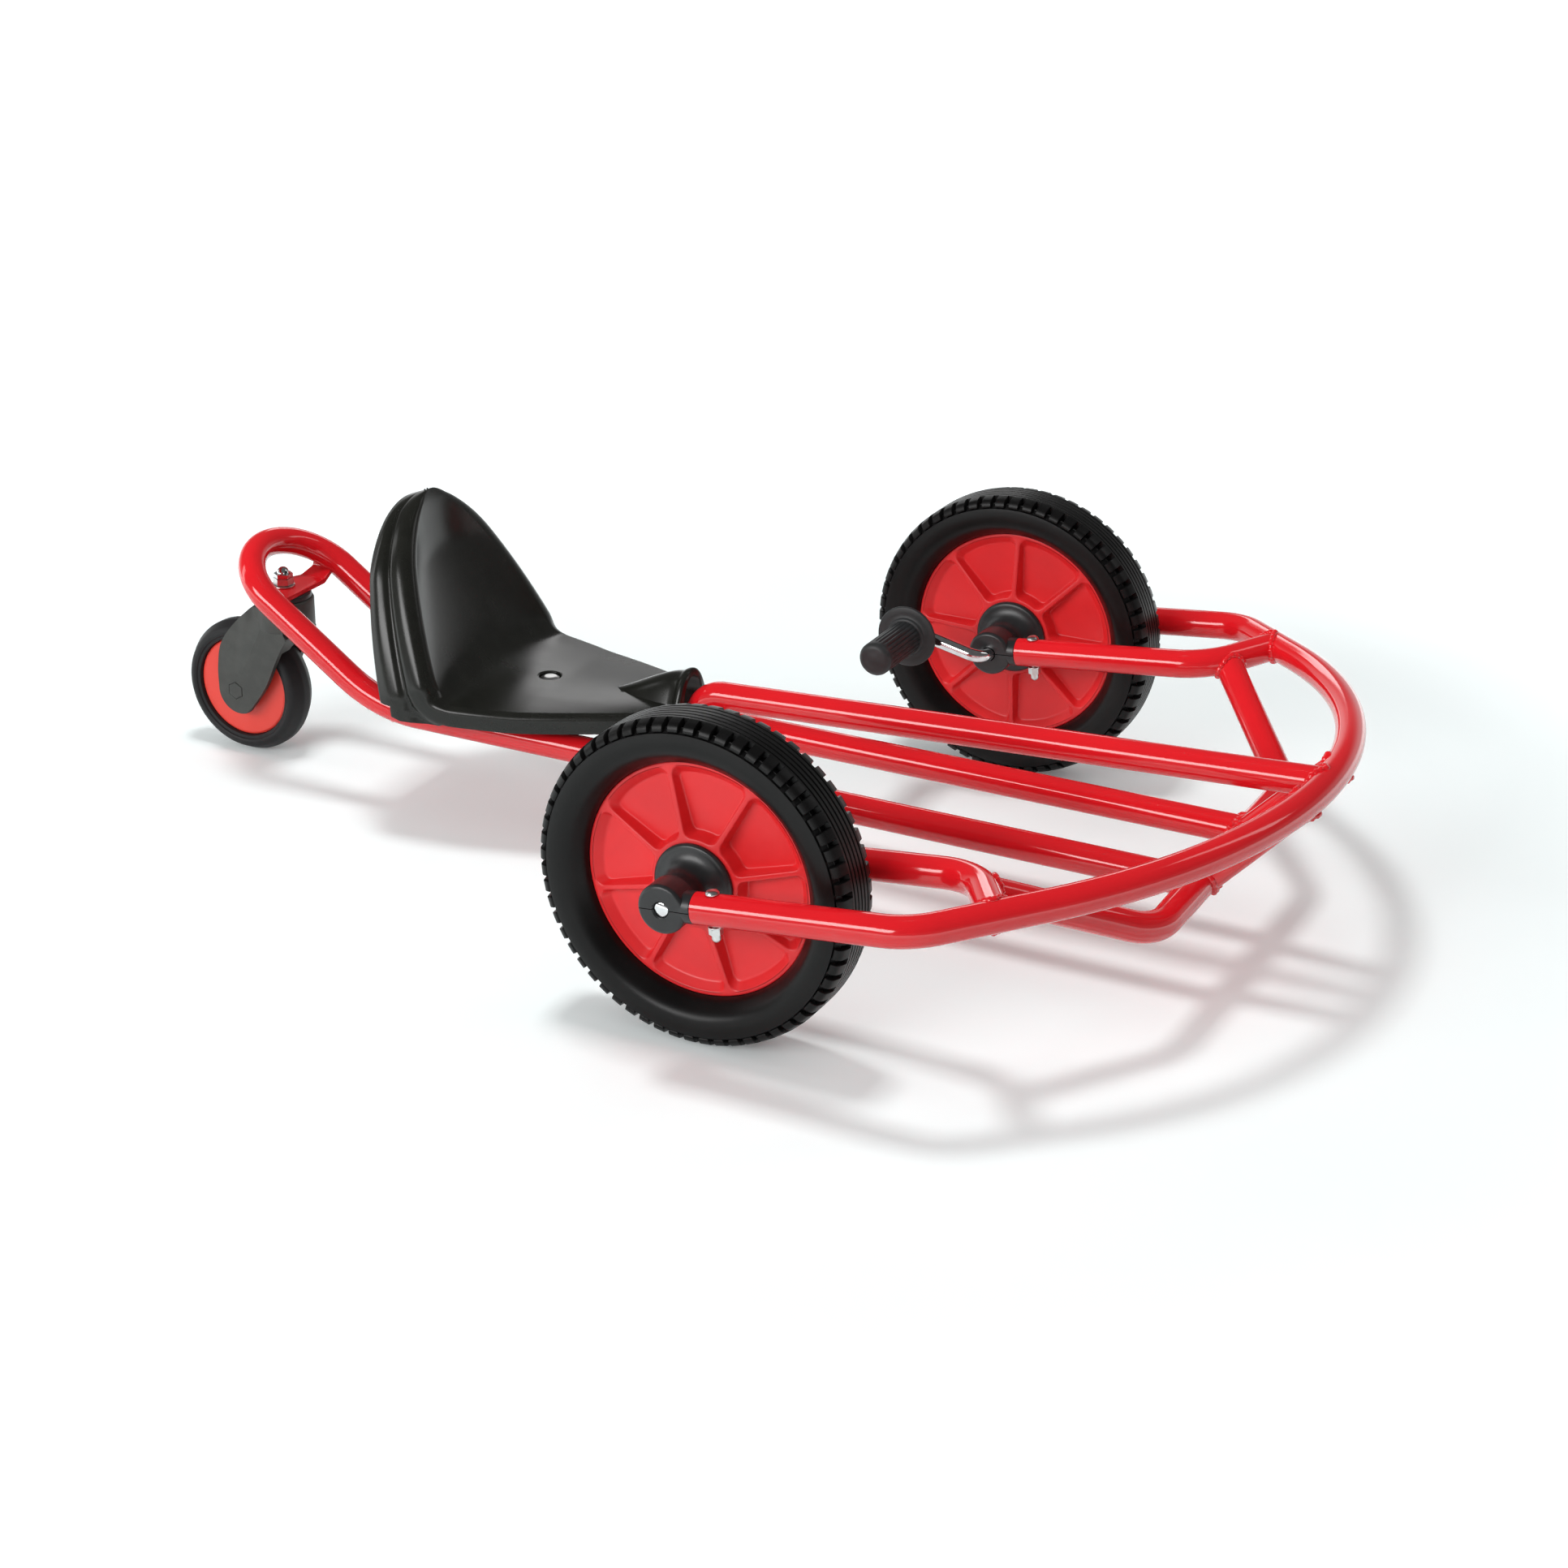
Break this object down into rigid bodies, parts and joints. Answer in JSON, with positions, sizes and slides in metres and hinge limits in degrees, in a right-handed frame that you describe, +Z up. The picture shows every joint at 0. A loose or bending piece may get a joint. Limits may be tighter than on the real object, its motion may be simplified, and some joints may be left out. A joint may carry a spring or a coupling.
{
  "type": "hand-cranked swing car",
  "caption": "Low hand-cranked ride-on swing car: bent red tube frame, cranked front wheels with block-tread tyres, moulded bucket seat and a trailing caster.",
  "frame": {"origin": "on the ground, under the middle of the whole car's length and width", "axes": "+X forwards along the car's length towards the hoop's nose, +Y to the car's left, +Z up"},
  "size_m": [1.1279, 0.7534, 0.2905],
  "materials": {
    "frame_red": "glossy powder coat",
    "rim_red": "satin moulded plastic",
    "seat_black": "semi-gloss moulded plastic",
    "hub_black": "satin moulded plastic",
    "grip_black": "satin moulded plastic",
    "fork_black": "matt moulded plastic",
    "tyre_rubber": "solid rubber, satin",
    "caster_rubber": "smooth rubber, satin",
    "chrome": "polished",
    "zinc": "bright zinc"
  },
  "bodies": {
    "frame": {"front_hoop": "frame_red", "rear_loop": "frame_red", "lower_crossbar": "frame_red", "centre_rail": "frame_red", "front_cross_tube": "frame_red", "rear_cross_tube": "frame_red", "seat_strap": "frame_red", "caster_plate": "frame_red", "right_inner_arm": "frame_red", "right_nose_stay": "frame_red", "left_inner_arm": "frame_red", "left_nose_stay": "frame_red", "seat": "seat_black", "seat_bolt": "zinc", "seat_nut": "zinc", "swivel_cap_ring": "hub_black", "swivel_bolt": "zinc", "swivel_washer": "zinc", "swivel_nut": "zinc", "swivel_dome_nut": "chrome", "right_outer_clamp_upper": "hub_black", "right_outer_clamp_lower": "hub_black", "right_outer_clamp_bolt": "zinc", "right_outer_clamp_washer": "zinc", "right_outer_clamp_nut": "zinc", "right_inner_clamp_upper": "hub_black", "right_inner_clamp_lower": "hub_black", "right_inner_clamp_bolt": "zinc", "right_inner_clamp_washer": "zinc", "right_inner_clamp_nut": "zinc", "left_outer_clamp_upper": "hub_black", "left_outer_clamp_lower": "hub_black", "left_outer_clamp_bolt": "zinc", "left_outer_clamp_washer": "zinc", "left_outer_clamp_nut": "zinc", "left_inner_clamp_upper": "hub_black", "left_inner_clamp_lower": "hub_black", "left_inner_clamp_bolt": "zinc", "left_inner_clamp_washer": "zinc", "left_inner_clamp_nut": "zinc"},
    "right_wheel": {"right_tyre": "tyre_rubber", "right_rim": "rim_red", "right_outer_hub": "hub_black", "right_inner_hub": "hub_black", "right_crank": "chrome"},
    "left_wheel": {"left_tyre": "tyre_rubber", "left_rim": "rim_red", "left_outer_hub": "hub_black", "left_inner_hub": "hub_black", "left_crank": "chrome"},
    "right_hand_grip": {"right_grip": "grip_black"},
    "left_hand_grip": {"left_grip": "grip_black"},
    "caster_swivel": {"caster_fork": "fork_black", "caster_pin": "zinc", "caster_right_cap": "fork_black", "caster_left_cap": "fork_black"},
    "caster_wheel": {"caster_tyre": "caster_rubber", "caster_disc": "rim_red"}
  },
  "joints": [
    {"name": "right_wheel_spin", "type": "hinge", "parent": "frame", "child": "right_wheel", "pos_m": [0.15749, -0.306, 0.135], "axis": [0, 1, 0], "continuous": true},
    {"name": "right_grip_spin", "type": "hinge", "parent": "right_wheel", "child": "right_hand_grip", "pos_m": [0.0888, -0.306, 0.14998], "axis": [0, 1, 0], "continuous": true},
    {"name": "left_wheel_spin", "type": "hinge", "parent": "frame", "child": "left_wheel", "pos_m": [0.15749, 0.306, 0.135], "axis": [0, 1, 0], "continuous": true},
    {"name": "left_grip_spin", "type": "hinge", "parent": "left_wheel", "child": "left_hand_grip", "pos_m": [0.0888, 0.306, 0.14998], "axis": [0, 1, 0], "continuous": true},
    {"name": "caster_turn", "type": "hinge", "parent": "frame", "child": "caster_swivel", "pos_m": [-0.45453, 0, 0.145], "axis": [0, 0, 1], "continuous": true},
    {"name": "caster_wheel_spin", "type": "hinge", "parent": "caster_swivel", "child": "caster_wheel", "pos_m": [-0.49933, 0, 0.0647], "axis": [0, 1, 0], "continuous": true}
  ]
}
